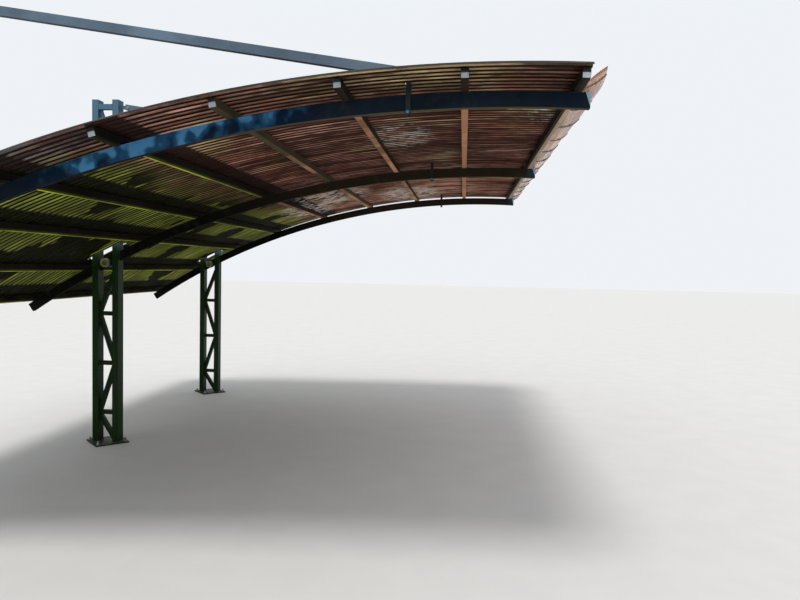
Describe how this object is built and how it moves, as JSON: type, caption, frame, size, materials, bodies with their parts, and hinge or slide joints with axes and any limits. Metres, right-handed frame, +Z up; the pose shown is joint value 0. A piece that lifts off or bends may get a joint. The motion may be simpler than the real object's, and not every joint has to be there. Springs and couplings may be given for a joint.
{
  "type": "cantilever carport",
  "caption": "Open cantilever carport: lattice masts carry curved steel arches hung by stays, with purlins and a brown translucent corrugated roof.",
  "frame": {"origin": "on the ground under the middle mast, at the centre of its base plate's underside", "axes": "+X up the roof towards its high end, +Y along the row of masts, +Z up"},
  "size_m": [4.9943, 6.0885, 3.29],
  "materials": {
    "mast_paint": "satin dark green-grey paint",
    "arch_paint": "gloss dark blue-green paint",
    "purlin_paint": "satin dark paint",
    "stay_paint": "weathered grey-blue paint",
    "bare_steel": "dull zinc",
    "sheet": "brown translucent corrugated plastic",
    "gutter_sheet": "pale translucent plastic"
  },
  "bodies": {
    "root": {"front_base_plate": "mast_paint", "front_mast_chords": "mast_paint", "front_mast_lacing": "mast_paint", "front_arch": "arch_paint", "front_stay": "stay_paint", "front_stay_lug": "mast_paint", "front_hanger": "bare_steel", "middle_base_plate": "mast_paint", "middle_mast_chords": "mast_paint", "middle_mast_lacing": "mast_paint", "middle_arch": "arch_paint", "middle_stay": "stay_paint", "middle_stay_lug": "mast_paint", "middle_hanger": "bare_steel", "rear_base_plate": "mast_paint", "rear_mast_chords": "mast_paint", "rear_mast_lacing": "mast_paint", "rear_arch": "arch_paint", "rear_stay": "stay_paint", "rear_stay_lug": "mast_paint", "rear_hanger": "bare_steel", "purlin_1": "purlin_paint", "purlin_2": "purlin_paint", "purlin_3": "purlin_paint", "purlin_4": "purlin_paint", "purlin_5": "purlin_paint", "purlin_6": "purlin_paint", "purlin_7": "purlin_paint", "purlin_8": "purlin_paint", "purlin_9": "purlin_paint", "roof_sheet_1": "sheet", "roof_sheet_2": "sheet", "roof_sheet_3": "sheet", "roof_sheet_4": "sheet", "roof_sheet_5": "sheet", "roof_sheet_6": "sheet", "roof_sheet_7": "sheet", "roof_sheet_8": "sheet", "gutter": "gutter_sheet"}
  },
  "joints": []
}
